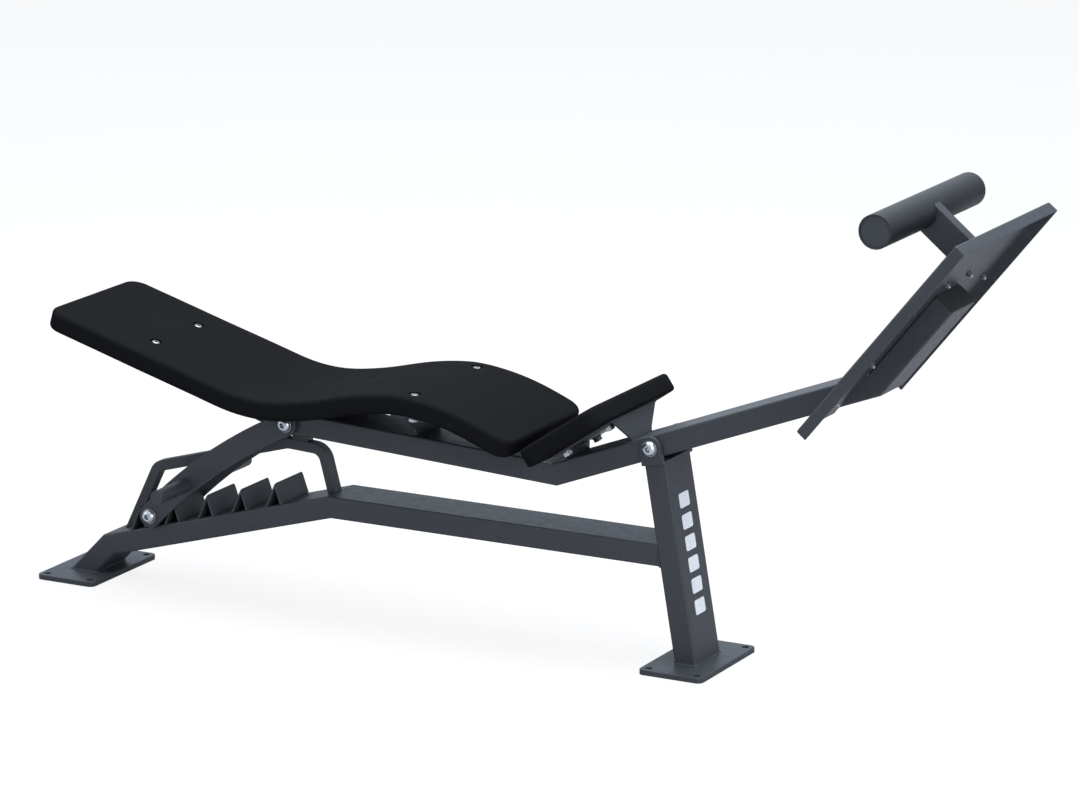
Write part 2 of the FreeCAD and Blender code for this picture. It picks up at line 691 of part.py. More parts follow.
def flared_web(base, up, stations, thickness, forward):
    """Plate standing on the beam; stations are (height, half width)."""
    origin, rise = xz(base), xz(up)
    points = [origin + rise * height + ACROSS * half for height, half in stations]
    points += [origin + rise * height - ACROSS * half for height, half in reversed(stations)]
    return Part.Face(Part.makePolygon(points + points[:1])).extrude(xz(forward) * thickness)


def centre_pad_bracket():
    """Flared web on the beam, folded forward under the long pad."""
    base_z = beam_rear_z(MID_WEB_X, TUBE_H / 2) + 0.05
    point, normal = pad_frame(MID_WEB_X + 2)
    height = (point - normal * (PAD_T / 2 + BRACKET_GAP + MID_BRACKET_T * 0.6)).z - base_z
    web = flared_web((MID_WEB_X, base_z), beam_up,
                     [(0.0, 46.0), (14.0, 52.0), (height - 12.0, 100.0), (height, 136.0)],
                     MID_BRACKET_T, beam_along)
    bracket = web.fuse(under_pad_strip(MID_WEB_X + 0.5, MID_X + 34.0, 284.0, MID_BRACKET_T,
                                       BRACKET_GAP, 8))
    return drill_plate(bracket, mid_sites, 14).removeSplitter()


def seat_pad_bracket():
    """Flared web square to the beam, a plate back under the seat pad, a short rear foot."""
    thickness = SEAT_BRACKET_T
    base = shift((SEAT_WEB_X, beam_front_z(SEAT_WEB_X)), front_up, TUBE_H / 2 + 0.05)
    # web height up to mid-thickness of the plate under the seat pad
    base_depth = (base[0] - SEAT_BASE[0]) * seat_up[0] + (base[1] - SEAT_BASE[1]) * seat_up[1]
    rate = front_up[0] * seat_up[0] + front_up[1] * seat_up[1]
    height = (-(BRACKET_GAP + thickness * 0.5) - base_depth) / rate
    web = flared_web(base, front_up, [(0.0, 41.0), (8.0, 45.0), (height, 89.0)],
                     -thickness, front_along)
    top = shift(base, front_up, height)
    top_s = (top[0] - SEAT_BASE[0]) * seat_along[0] + (top[1] - SEAT_BASE[1]) * seat_along[1]

    def under_seat(s, depth):
        return shift(SEAT_BASE, seat_along, s, seat_up, -depth)

    low = BRACKET_GAP + thickness
    plate = prism([under_seat(SEAT_FOOT_S, BRACKET_GAP), under_seat(top_s, BRACKET_GAP),
                   under_seat(top_s, low), under_seat(SEAT_FOOT_S, low)], -90.0, 90.0)
    x, z = under_seat(SEAT_FOOT_S, low)
    foot = prism([(x, z + 2.0), (x + thickness, z + 2.0),
                  (x + thickness, beam_front_z(x + thickness, TUBE_H / 2 + 0.05)),
                  (x, beam_front_z(x, TUBE_H / 2 + 0.05))], -46.0, 46.0)
    bracket = web.fuse(plate).fuse(foot)
    return drill_plate(bracket, seat_sites, 12).removeSplitter()


save("centre_pad_bracket", centre_pad_bracket())
save("seat_pad_bracket", seat_pad_bracket())

# ---------------------------------------------------------------- foot tray
TRAY_W, TRAY_L, TRAY_D = 424.0, 479.0, 23.0
TRAY_START = -9.0       # lower end of the tray, measured from TRAY_ORIGIN
MAT_T = 3.5
MAT_L, MAT_W = 433.0, 384.0
MAT_GAP = 0.05
# tread bolts: distance up the tray, distance either side of the middle
TREAD_BOLTS = [(45.0, 125.0), (137.0, 100.0), (291.0, 170.0), (330.0, 50.0)]
TREAD_BOLT_R = 3.0
STEM_START, STEM_END = 350.0, 408.0
STEM_HALF_W = 12.5
STEM_WALL = 2.5
ROLLER_S, ROLLER_N = 378.0, -125.3      # roller axis up the tray and out of its front
ROLLER_R = 31.75
ROLLER_L = 418.0

UP_TRAY, INTO_TRAY = xz(tray_along), xz(tray_back)


def on_tray(s, y, depth):
    """Point s up the tray and depth behind its front plane."""
    return xz(shift(TRAY_ORIGIN, tray_along, s, tray_back, depth), y)


def tray_box(length, width, height, corner):
    """Box with X up the tray, Y across and Z out of the front face."""
    box = Part.makeBox(length, width, height)
    box.Placement = FreeCAD.Placement(
        corner, FreeCAD.Rotation(UP_TRAY, ACROSS, INTO_TRAY * -1.0, "ZXY"))
    return box


def beam_slot():
    """Slot at the lower end where the beam passes through."""
    return tray_box(114.0, TUBE_W + 2.4, 60.0, on_tray(-20.0, -TUBE_W / 2 - 1.2, 40.0))


tread_sites = [(s, side * y) for s, y in TREAD_BOLTS for side in SIDES]


def tread_hole(s, y):
    return cylinder(on_tray(s, y, -20), INTO_TRAY, TREAD_BOLT_R + 0.3, 60)


def foot_tray():
    """Folded sheet tray, open behind and at its lower end."""
    middle = TRAY_L / 2 + TRAY_START
    tray = rounded_bar(on_tray(middle, 0, 0), UP_TRAY, ACROSS, TRAY_L, TRAY_W, 4.0,
                       INTO_TRAY * TRAY_D)
    front = [e for e in tray.Edges
             if max(abs((v.Point - on_tray(0, 0, 0)).dot(INTO_TRAY)) for v in e.Vertexes) < 0.01]
    tray = tray.makeFillet(4.0, front)
    tray = tray.cut(rounded_bar(on_tray(middle - 15.0, 0, TRAY_T), UP_TRAY, ACROSS,
                                TRAY_L + 30.0 - 2 * TRAY_T, TRAY_W - 2 * TRAY_T, 1.5,
                                INTO_TRAY * TRAY_D))
    tray = tray.cut(beam_slot())
    for s, y in tread_sites:
        tray = tray.cut(tread_hole(s, y))
    return tray


def tread_mat():
    mat = rounded_bar(on_tray(234.5, 0, -MAT_T - MAT_GAP), UP_TRAY, ACROSS, MAT_L, MAT_W, 8.0,
                      INTO_TRAY * MAT_T)
    mat = mat.cut(beam_slot())
    # opening round the roller stem
    mat = mat.cut(tray_box(STEM_END - STEM_START + 1.0, 2 * STEM_HALF_W + 1.0, 20.0,
                           on_tray(STEM_START - 0.5, -STEM_HALF_W - 0.5, 8.0)))
    for s, y in tread_sites:
        mat = mat.cut(tread_hole(s, y))
        mat = mat.cut(cylinder(on_tray(s, y, -MAT_T - 0.6), INTO_TRAY, 6.6, MAT_T - 0.9))
    return mat


def tread_nut(s, y):
    """A nut and its washer behind the tray sheet."""
    return [hexagon(on_tray(s, y, TRAY_T + 1.7), INTO_TRAY, 10.0, 5.0,
                    bore_r=TREAD_BOLT_R + THREAD_GAP),
            ring(on_tray(s, y, TRAY_T + 0.05), INTO_TRAY, 6.5, TREAD_BOLT_R + 0.2, 1.6)]


def roller_stem():
    """Hollow stem standing on the front of the tray, notched for the roller."""
    base = on_tray((STEM_START + STEM_END) / 2, 0, -0.03)
    length = -ROLLER_N - 4.0
    depth, width = STEM_END - STEM_START, 2 * STEM_HALF_W
    stem = rounded_bar(base, UP_TRAY, ACROSS, depth, width, 3.0, INTO_TRAY * -length)
    hollow = rounded_bar(base + INTO_TRAY * 1, UP_TRAY, ACROSS, depth - 2 * STEM_WALL,
                         width - 2 * STEM_WALL, 1.0, INTO_TRAY * -(length + 2))
    notch = cylinder(on_tray(ROLLER_S, -200, ROLLER_N), ACROSS, ROLLER_R + 0.05, 400)
    return largest(stem.cut(hollow).cut(notch))


def roller_end_cap(side):
    """Recessed cup inside the roller end, open towards the middle."""
    end = side * ROLLER_L / 2
    cap = cylinder(on_tray(ROLLER_S, end - side * 10.0, ROLLER_N), ACROSS * side,
                   ROLLER_R - 3.1, 8.6)
    return cap.cut(cylinder(on_tray(ROLLER_S, end - side * 10.5, ROLLER_N), ACROSS * side,
                            ROLLER_R - 6.0, 6.5))


save("foot_tray", foot_tray())
save("tread_mat", tread_mat())
save("tread_bolts", *[bolt(on_tray(s, y, -1.5), INTO_TRAY, TREAD_BOLT_R, 14.5, 5.7, 2.2)
                      for s, y in tread_sites])
save("tread_nuts", *[part for s, y in tread_sites for part in tread_nut(s, y)])
save("roller_stem", roller_stem())
save("foot_roller", ring(on_tray(ROLLER_S, -ROLLER_L / 2, ROLLER_N), ACROSS,
                         ROLLER_R, ROLLER_R - 3.0, ROLLER_L))
save("roller_end_caps", *[roller_end_cap(side) for side in SIDES])

# ---------------------------------------------------------------- prop
FOOT_BAR_R = 22.25
FOOT_BAR_GAP = 0.3      # above the rail
PROP_SAG = 17.3         # bow of the plates off their chord
PROP_HALF_W = 23.3
PROP_T = 6.0
PROP_OUT = PROP_IN + PROP_T
HANDLE = (250.0, 219.0)
HANDLE_R = 14.0
HANDLE_WALL = 2.0
HANDLE_END = 166.0      # outer face of the handle caps, from Y = 0
HANDLE_CAP_T = 3.0

# the foot bar lies on the rail in front of the first tooth
foot_height = FOOT_BAR_R + FOOT_BAR_GAP
PROP_FOOT = on_rail(TOOTH_FIRST + 1.5 + foot_height / cos(radians(4.0)), foot_height)
chord = hypot(PROP_TOP[0] - PROP_FOOT[0], PROP_TOP[1] - PROP_FOOT[1])
chord_along = unit(PROP_FOOT, PROP_TOP)
arc_r = (chord * chord / 4 + PROP_SAG * PROP_SAG) / (2 * PROP_SAG)
arc_centre = shift(PROP_FOOT, chord_along, chord / 2, left_of(chord_along), PROP_SAG - arc_r)


def on_arc(fraction, offset):
    """Point on the prop's curve: 0 at the foot, 1 at the top, offset outwards."""
    a0, a1 = [atan2(end[1] - arc_centre[1], end[0] - arc_centre[0])
              for end in (PROP_FOOT, PROP_TOP)]
    angle = a0 + (a1 - a0) * fraction
    return shift(arc_centre, (cos(angle), sin(angle)), arc_r + offset)


def prop_plate(y):
    """Curved plate with round ends, its lower Y face at y."""
    foot, top = on_arc(0.0, 0.0), on_arc(1.0, 0.0)
    foot_tip = shift(foot, unit(foot, on_arc(0.001, 0)), -PROP_HALF_W)
    top_tip = shift(top, unit(on_arc(0.999, 0), top), PROP_HALF_W)
    outer = [on_arc(f, PROP_HALF_W) for f in (0, 0.5, 1)]
    inner = [on_arc(f, -PROP_HALF_W) for f in (1, 0.5, 0)]
    arcs = [outer, (outer[2], top_tip, inner[0]), inner, (inner[2], foot_tip, outer[0])]
    outline = Part.Wire([Part.Arc(*[xz(point, y) for point in arc]).toShape() for arc in arcs])
    plate = Part.Face(outline).extrude(V(0, PROP_T, 0))
    for point in (PROP_FOOT, PROP_TOP):
        plate = plate.cut(cylinder(xz(point, y - 1), ACROSS, HINGE_HOLE_R, PROP_T + 2))
    return plate


def handle_stub(side):
    """Round tube standing out from the prop plate."""
    return ring(xz(HANDLE, side * (PROP_OUT + 0.05)), ACROSS * side, HANDLE_R,
                HANDLE_R - HANDLE_WALL, HANDLE_END - PROP_OUT - HANDLE_CAP_T)


def handle_cap(side):
    cap = cylinder(xz(HANDLE, side * (HANDLE_END - HANDLE_CAP_T + 0.05)), ACROSS * side,
                   HANDLE_R, HANDLE_CAP_T)
    plug = cylinder(xz(HANDLE, side * (HANDLE_END - 14.0)), ACROSS * side,
                    HANDLE_R - HANDLE_WALL - 0.1, 11.1)
    return cap.fuse(plug).removeSplitter()


save("prop_plate_right", prop_plate(-PROP_OUT))
save("prop_plate_left", prop_plate(PROP_IN))
save("foot_bar", ring(xz(PROP_FOOT, -PROP_IN + 0.05), ACROSS, FOOT_BAR_R, HINGE_R + 0.3,
                      2 * PROP_IN - 0.1))
save("foot_bolt", hinge_bolt(PROP_FOOT, PROP_OUT))
save("foot_nut", hinge_nut(PROP_FOOT, PROP_OUT))
save("prop_pivot_bolt", hinge_bolt(PROP_TOP, PROP_OUT))
save("prop_pivot_nut", hinge_nut(PROP_TOP, PROP_OUT))
save("prop_washers", *[hinge_washer(point, y) for y in (-(PROP_OUT + 2.99), PROP_OUT + 0.01)
                       for point in (PROP_FOOT, PROP_TOP)])
save("handle_stubs", *[handle_stub(side) for side in SIDES])
save("handle_caps", *[handle_cap(side) for side in SIDES])
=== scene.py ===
# Exercise machine: a long curved pad, a seat pad and a sloping tread on an upper frame,
# over a base with rails, a stub tube and a leaning leg. It lies lengthwise along X and is
# centred on y = 0. The floor is z = 0, and lengths are metres unless a comment says otherwise.
import bpy
import bmesh
import json
import math
import numpy as np
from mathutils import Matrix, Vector


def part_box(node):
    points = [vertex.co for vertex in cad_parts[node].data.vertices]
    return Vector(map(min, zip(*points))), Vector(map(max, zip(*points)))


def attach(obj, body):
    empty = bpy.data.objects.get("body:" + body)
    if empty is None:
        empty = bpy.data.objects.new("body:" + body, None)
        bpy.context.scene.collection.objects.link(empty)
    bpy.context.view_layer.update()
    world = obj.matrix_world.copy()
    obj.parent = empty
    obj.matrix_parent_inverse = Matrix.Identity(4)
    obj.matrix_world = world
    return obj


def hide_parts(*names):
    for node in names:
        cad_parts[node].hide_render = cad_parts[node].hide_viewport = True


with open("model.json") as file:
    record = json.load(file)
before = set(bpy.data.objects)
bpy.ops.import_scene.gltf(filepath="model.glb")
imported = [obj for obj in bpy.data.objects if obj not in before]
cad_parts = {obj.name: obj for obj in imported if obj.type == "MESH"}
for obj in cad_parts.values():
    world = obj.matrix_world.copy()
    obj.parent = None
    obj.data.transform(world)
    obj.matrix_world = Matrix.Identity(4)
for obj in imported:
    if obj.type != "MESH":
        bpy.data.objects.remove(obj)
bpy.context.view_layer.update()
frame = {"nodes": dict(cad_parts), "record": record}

nodes = frame["nodes"]
scene = bpy.context.scene
collection = scene.collection


# ------------------------------------------------------------------ node graphs
class Graph:
    """Node graph of a material or a world, emptied and ready to fill."""

    def __init__(self, owner):
        owner.use_nodes = True
        self.tree = owner.node_tree
        self.tree.nodes.clear()

    def feed(self, socket, value):
        """Links an output socket to the input, or sets the input's constant."""
        if isinstance(value, bpy.types.NodeSocket):
            self.tree.links.new(value, socket)
        elif socket.type == "RGBA":
            socket.default_value = (*value, 1.0)
        else:
            socket.default_value = value

    def configure(self, node, *ordered, **named):
        """Capitalised names are inputs, the others are node settings.
        Ordered values fill the inputs from the first one."""
        for key, value in named.items():
            if key[0].isupper():
                self.feed(node.inputs[key.replace("_", " ")], value)
            else:
                setattr(node, key, value)
        for socket, value in zip(node.inputs, ordered):
            self.feed(socket, value)
        return node

    def add(self, kind, *ordered, **named):
        return self.configure(self.tree.nodes.new("ShaderNode" + kind), *ordered, **named)

    def ramp(self, source, *stops):
        """Stops are (position, grey level or RGB)."""
        node = self.add("ValToRGB", Fac=source)
        elements = node.color_ramp.elements
        while len(elements) < len(stops):
            elements.new(0.5)
        for element, (position, color) in zip(elements, stops):
            element.position = position
            rgb = color if isinstance(color, tuple) else (color,) * 3
            element.color = (*rgb, 1.0)
        return node.outputs[0]


class Surface(Graph):
    """Material graph around one Principled shader."""

    def __init__(self, name):
        self.material = bpy.data.materials.new(name)
        super().__init__(self.material)
        self.output = self.add("OutputMaterial")
        self.shader = self.add("BsdfPrincipled")
        self.feed(self.output.inputs["Surface"], self.shader.outputs["BSDF"])
        self.position = self.add("TexCoord").outputs["Object"]
        self.normal = None

    def noise(self, scale, detail, rough, vector=None):
        return self.add("TexNoise", Scale=scale, Detail=detail, Roughness=rough,
                        Vector=vector or self.position).outputs[0]

    def mix(self, factor, a, b, blend="MIX"):
        node = self.add("Mix", data_type="RGBA", blend_type=blend)
        for index, value in ((0, factor), (6, a), (7, b)):
            self.feed(node.inputs[index], value)
        return node.outputs[2]

    def math(self, operation, a, b):
        return self.add("Math", a, b, operation=operation).outputs[0]

    def paint(self, **inputs):
        self.configure(self.shader, **inputs)

    def use_normal(self, normal):
        self.normal = normal
        self.feed(self.shader.inputs["Normal"], normal)

    def bevelled_normal(self, radius):
        return self.add("Bevel", samples=4, Radius=radius).outputs["Normal"]

    def bump(self, height, strength, distance):
        """Lays one more bump over the normal used so far."""
        node = self.add("Bump", Strength=strength, Distance=distance, Height=height)
        if self.normal is not None:
            self.feed(node.inputs["Normal"], self.normal)
        self.use_normal(node.outputs["Normal"])

    def edge_mask(self, radius, low, high):
        """White along corners, from the angle between the true and the rounded normal."""
        true = self.add("NewGeometry").outputs["True Normal"]
        rounded = self.bevelled_normal(radius)
        cosine = self.add("VectorMath", true, rounded, operation="DOT_PRODUCT").outputs[1]
        turn = self.math("SUBTRACT", 1.0, cosine)
        node = self.add("MapRange", Value=turn, From_Min=low, From_Max=high)
        return node.outputs[0]


# ------------------------------------------------------------------ materials
def scaled(color, factor):
    return tuple(factor * v for v in color)


def powder_coat(name, base, dark, rough=(0.40, 0.52), corner_wear_or_dark_reflection=(0.16, 0.165, 0.175)):
    """Fine-textured satin powder coat, dusty in patches, with its corners recoloured in broken
    patches: lighter wear by default, a painted dark reflection line where a near-black corner
    colour is given.
    """
    s = Surface(name)
    broad = s.noise(scale=7.0, detail=5.0, rough=0.6)
    patches = s.noise(scale=60.0, detail=4.0, rough=0.6)
    tone = s.mix(broad, dark, base)
    specks = s.ramp(s.noise(scale=1400.0, detail=2.0, rough=0.5), (0.42, 0.80), (0.62, 1.12))
    tone = s.mix(1.0, tone, specks, "MULTIPLY")
    dust = s.ramp(patches, (0.45, 0.0), (0.80, 0.10))
    tone = s.mix(dust, tone, (0.075, 0.087, 0.108))
    corners = s.edge_mask(radius=0.0014, low=0.05, high=0.35)
    breaks = s.ramp(s.noise(scale=180.0, detail=3.0, rough=0.6), (0.46, 0.0), (0.66, 0.55))
    # Corners, broken up by noise, take the corner colour: real wear by default, painted dark
    # reflection on the rails.
    tone = s.mix(s.math("MULTIPLY", corners, breaks), tone, corner_wear_or_dark_reflection)
    s.paint(Base_Color=tone, Roughness=s.ramp(patches, (0.3, rough[0]), (0.75, rough[1])),
            Specular_IOR_Level=0.42)
    s.use_normal(s.bevelled_normal(0.0016))
    s.bump(s.noise(scale=420.0, detail=2.0, rough=0.5), strength=0.16, distance=0.0006)
    s.bump(s.noise(scale=1900.0, detail=2.0, rough=0.6), strength=0.20, distance=0.00025)
    return s.material


def moulded(name, base, specular, rough, grain, bevel=0.0):
    """Moulded plastic or rubber: leather-like fine grain and faint scuffs."""
    s = Surface(name)
    broad = s.noise(scale=4.0, detail=4.0, rough=0.6)
    tone = s.mix(broad, scaled(base, 0.90), scaled(base, 1.10))
    # Stretched coordinates draw the scuffs out into streaks.
    streaks = s.add("Mapping", Vector=s.position, Scale=(18.0, 160.0, 18.0),
                    Rotation=(0.2, 0.1, 0.5)).outputs["Vector"]
    scuffs = s.ramp(s.noise(scale=3.0, detail=5.0, rough=0.65, vector=streaks),
                    (0.63, 0.0), (0.74, 0.35))
    tone = s.mix(scuffs, tone, tuple(min(1.0, v * 2.2 + 0.004) for v in base))
    patches = s.noise(scale=30.0, detail=4.0, rough=0.6)
    s.paint(Base_Color=tone, Roughness=s.ramp(patches, (0.3, rough[0]), (0.75, rough[1])),
            Specular_IOR_Level=specular)
    cells = s.add("TexVoronoi", feature="SMOOTH_F1", Scale=grain, Vector=s.position).outputs[0]
    if bevel:
        s.use_normal(s.bevelled_normal(bevel))
    s.bump(cells, strength=0.35, distance=0.0003)
    s.bump(s.noise(scale=grain * 0.55, detail=3.0, rough=0.6), strength=0.25, distance=0.0003)
    return s.material


def zinc(name, base, rough):
    """Zinc-plated metal with painted shade: ambient occlusion darkens its colour in crevices."""
    s = Surface(name)
    mottle = s.noise(scale=240.0, detail=4.0, rough=0.6)
    tone = s.mix(mottle, scaled(base, 0.82), scaled(base, 1.12))
    # Painted shade: the ambient-occlusion output darkens the colour in crevices, under heads and
    # washers.
    ao_painted_shade = s.add("AmbientOcclusion", samples=8, Distance=0.006).outputs["AO"]
    tone = s.mix(1.0, tone, s.ramp(ao_painted_shade, (0.30, 0.03), (0.85, 1.0)), "MULTIPLY")
    gloss = s.noise(scale=520.0, detail=3.0, rough=0.6)
    s.paint(Base_Color=tone, Roughness=s.ramp(gloss, (0.3, rough[0]), (0.75, rough[1])),
            Metallic=1.0)
    s.use_normal(s.bevelled_normal(0.0005))
    s.bump(s.noise(scale=1500.0, detail=2.0, rough=0.5), strength=0.18, distance=0.0002)
    return s.material


def white_print():
    """Slightly worn white print."""
    s = Surface("m_white_print")
    tone = s.ramp(s.noise(scale=260.0, detail=5.0, rough=0.65), (0.30, (0.30, 0.32, 0.36)),
                  (0.40, (0.70, 0.73, 0.78)), (0.70, (0.80, 0.83, 0.88)))
    gloss = s.noise(scale=420.0, detail=3.0, rough=0.6)
    s.paint(Base_Color=tone, Roughness=s.ramp(gloss, (0.3, 0.38), (0.7, 0.55)))
    s.bump(s.noise(scale=1400.0, detail=2.0, rough=0.5), strength=0.2, distance=0.0002)
    return s.material


def floor_material():
    """The camera sees a pale floor with a soft shadow; the object is lit by a duller one."""
    s = Surface("m_floor")
    s.tree.nodes.remove(s.shader)
    tone = s.mix(s.noise(scale=0.7, detail=3.0, rough=0.5),
                 (0.120, 0.120, 0.122), (0.128, 0.128, 0.128))
    shaded = s.add("BsdfDiffuse", Color=tone)
    glow = s.add("Emission", Strength=0.84)
    seen = s.add("AddShader", shaded.outputs[0], glow.outputs[0])
    bounce = 0.36
    unseen = s.add("BsdfDiffuse", Color=(bounce, bounce, bounce * 1.03))
    camera_ray = s.add("LightPath").outputs["Is Camera Ray"]
    both = s.add("MixShader", camera_ray, unseen.outputs[0], seen.outputs[0])
    s.feed(s.output.inputs["Surface"], both.outputs[0])
    return s.material


COAT_BASE, COAT_DARK = (0.0385, 0.0435, 0.0515), (0.0345, 0.0390, 0.0460)

M_COAT = powder_coat("m_dark_coat", base=COAT_BASE, dark=COAT_DARK)
M_ROLLER = powder_coat("m_roller_coat", base=(0.0158, 0.0182, 0.0220),
                       dark=(0.0165, 0.019, 0.023), rough=(0.42, 0.55))
M_PAD = moulded("m_pad", base=(0.0085, 0.0087, 0.0096), specular=0.007,
                rough=(0.60, 0.74), grain=700.0)
M_CAP = moulded("m_cap_plastic", base=(0.016, 0.0165, 0.018), specular=0.40,
                rough=(0.42, 0.56), grain=1100.0, bevel=0.0008)
M_MAT = moulded("m_tread_rubber", base=(0.010, 0.010, 0.011), specular=0.16,
                rough=(0.62, 0.80), grain=1000.0)
M_ZINC = zinc("m_zinc", base=(0.66, 0.70, 0.75), rough=(0.22, 0.36))
M_ZINC_DARK = zinc("m_zinc_dark", base=(0.30, 0.31, 0.33), rough=(0.34, 0.5))
M_BUSH = moulded("m_bush_plastic", base=(0.50, 0.49, 0.46), specular=0.45,
                 rough=(0.36, 0.5), grain=1200.0)
M_END = powder_coat("m_end_disc", base=(0.036, 0.0415, 0.050), dark=(0.033, 0.038, 0.046),
                    rough=(0.46, 0.58))
# Rails and stub tube: near-black corners, a painted dark reflection line along their rounded edges,
# not wear.
M_RAIL = powder_coat("m_rail_coat", base=COAT_BASE, dark=COAT_DARK, corner_wear_or_dark_reflection=(0.004, 0.005, 0.006))

BY_SLOT = {"dark_coat": M_COAT, "pad_plastic": M_PAD, "mat_rubber": M_MAT, "zinc": M_ZINC,
           "bush_plastic": M_BUSH, "cap_plastic": M_CAP, "roller_black": M_ROLLER}
# Pieces whose material differs from that of their slot.
BY_PIECE = {"handle_caps": M_END, "roller_end_caps": M_END, "tread_nuts": M_ZINC_DARK,
            "pad_bolts": M_ZINC_DARK, "pad_washers": M_ZINC_DARK, "base_rail_rear": M_RAIL,
            "base_rail_front": M_RAIL, "rear_stub_tube": M_RAIL}


def assign(obj, material):
    obj.data.materials.clear()
    obj.data.materials.append(material)


def assign_cad_materials():
    slot_of = {part["node"]: part["material_slot"] for part in frame["record"]["subparts"]}
    for name, obj in nodes.items():
        assign(obj, BY_SLOT[slot_of[name]])
    for name, material in BY_PIECE.items():
        assign(nodes[name], material)


# ------------------------------------------------------------------ mesh helpers
def add_mesh(name, verts, faces, material, smooth=True):
    mesh = bpy.data.meshes.new(name)
    mesh.from_pydata([tuple(v) for v in verts], [], faces)
    mesh.validate()
    mesh.update()
    for polygon in mesh.polygons:
        polygon.use_smooth = smooth
    obj = bpy.data.objects.new(name, mesh)
    collection.objects.link(obj)
    mesh.materials.append(material)
    return obj


def fix_normals(obj):
    """Merges coincident vertices and turns the faces outward."""
    bm = bmesh.new()
    bm.from_mesh(obj.data)
    bmesh.ops.remove_doubles(bm, verts=bm.verts, dist=1e-6)
    bmesh.ops.recalc_face_normals(bm, faces=bm.faces)
    bm.to_mesh(obj.data)
    bm.free()


def bake(obj):
    """Applies every modifier of the object to its mesh."""
    graph = bpy.context.evaluated_depsgraph_get()
    mesh = bpy.data.meshes.new_from_object(obj.evaluated_get(graph))
    obj.modifiers.clear()
    obj.data = mesh


def tube_faces(start, rings, sides):
    """Walls and two end caps over consecutive rings of vertices, the first at index start."""
    faces = []
    for ring in range(rings - 1):
        a = start + ring * sides
        b = a + sides
        for i in range(sides):
            j = (i + 1) % sides
            faces.append((a + i, a + j, b + j, b + i))
    last = start + (rings - 1) * sides
    faces.append(tuple(range(start, start + sides))[::-1])
    faces.append(tuple(range(last, last + sides)))
    return faces


def rounded_rectangle(half_x, half_y, radius, steps_x, steps_y, corner_steps):
    """Points counter-clockwise: each corner arc, then the straight side that follows it."""
    points = []
    for quarter, (sign_x, sign_y) in enumerate(((1, 1), (-1, 1), (-1, -1), (1, -1))):
        x, y = sign_x * (half_x - radius), sign_y * (half_y - radius)
        for i in range(corner_steps + 1):
            angle = math.radians(90.0 * quarter + 90.0 * i / corner_steps)
            points.append((x + radius * math.cos(angle), y + radius * math.sin(angle)))
        if quarter % 2 == 0:
            points += [(x - 2 * x * i / steps_x, sign_y * half_y) for i in range(1, steps_x)]
        else:
            points += [(sign_x * half_x, y - 2 * y * i / steps_y) for i in range(1, steps_y)]
    return points


def edge_profile(thickness, top_radius, bottom_radius, width, edge_steps=7, flat_steps=9):
    """(inset, height) from the top centre line over the rounded side to the bottom one."""
    centre = width / 2 - 0.0008
    top = thickness / 2
    quarter = [math.radians(90.0 * i / edge_steps) for i in range(edge_steps + 1)]
    profile = [(centre + (top_radius - centre) * (i / flat_steps) ** 0.8, top)
               for i in range(flat_steps)]
    profile += [(top_radius * (1 - math.sin(t)), top - top_radius * (1 - math.cos(t)))
                for t in quarter]
    profile.append((0.0, 0.0))
    profile += [(bottom_radius * (1 - math.cos(t)), -top + bottom_radius * (1 - math.sin(t)))
                for t in quarter]
    profile += [(bottom_radius + (centre - bottom_radius) * (i / flat_steps) ** 1.3, -top)
                for i in range(1, flat_steps + 1)]
    return profile


def slab(name, length, width, corner_radius, profile, place, steps_u, steps_v, corner_steps=12):
    """Closed slab with rounded corners; place(u, v, height) maps the flat slab to space."""
    verts, faces, loops = [], [], []
    for inset, height in profile:
        half_u, half_v = length / 2 - inset, width / 2 - inset
        radius = min(max(corner_radius - inset, 0.0004), half_v * 0.98)
        outline = rounded_rectangle(half_u, half_v, radius, steps_u, steps_v, corner_steps)
        start = len(verts)
        verts += [place(u, v, height) for u, v in outline]
        loops.append(list(range(start, len(verts))))
    count = len(loops[0])
    for upper, lower in zip(loops[:-1], loops[1:]):
        for i in range(count):
            j = (i + 1) % count
            faces.append((upper[i], lower[i], lower[j], upper[j]))
    # Caps: a strip of quads between the long sides, each running from the middle of one
    # corner to the middle of the next, and one face at either end.
    near = corner_steps // 2
    far = near + count // 2
    run = corner_steps + steps_u
    for loop, order in ((loops[0], 1), (loops[-1], -1)):
        side_a = loop[near:near + run + 1]
        side_b = loop[far:far + run + 1][::-1]
        cap = [(side_a[i], side_a[i + 1], side_b[i + 1], side_b[i]) for i in range(run)]
        cap.append(tuple(loop[near + run:far + 1]))
        cap.append(tuple(loop[far + run:] + loop[:near + 1]))
        faces += [face[::order] for face in cap]
    obj = add_mesh(name, verts, faces, M_PAD)
    fix_normals(obj)
    return obj


# ------------------------------------------------------------------ counterbores of the pads
BORE_RADIUS, BORE_DEPTH = 0.012, 0.007
BORE_SIDES = 48
BORE_OVERSHOOT = 0.02       # how far the cutter stands out of the surface
RIM_BEVEL = 0.0012


def bore_cutter(bores):
    verts, faces = [], []
    for point, normal in bores:
        axis = normal.normalized()
        across = axis.orthogonal().normalized()
        along = axis.cross(across)
        base = point - normal * BORE_DEPTH
        faces += tube_faces(len(verts), 2, BORE_SIDES)
        for height in (0.0, BORE_DEPTH + BORE_OVERSHOOT):
            for i in range(BORE_SIDES):
                t = 2 * math.pi * i / BORE_SIDES
                verts.append(base + axis * height + across * (BORE_RADIUS * math.cos(t))
                             + along * (BORE_RADIUS * math.sin(t)))
    return add_mesh("cutter_tmp", verts, faces, M_PAD, smooth=False)


def near_rim(position, point, normal):
    offset = position - point
    height = offset.dot(normal)
    radius = (offset - normal * height).length
    return abs(radius - BORE_RADIUS) <= 0.0004 and abs(height) <= 0.003


def is_rim(edge, bores):
    if len(edge.link_faces) != 2 or edge.calc_face_angle(0) <= math.radians(55):
        return False
    return any(all(near_rim(vert.co, point, normal) for vert in edge.verts)
               for point, normal in bores)


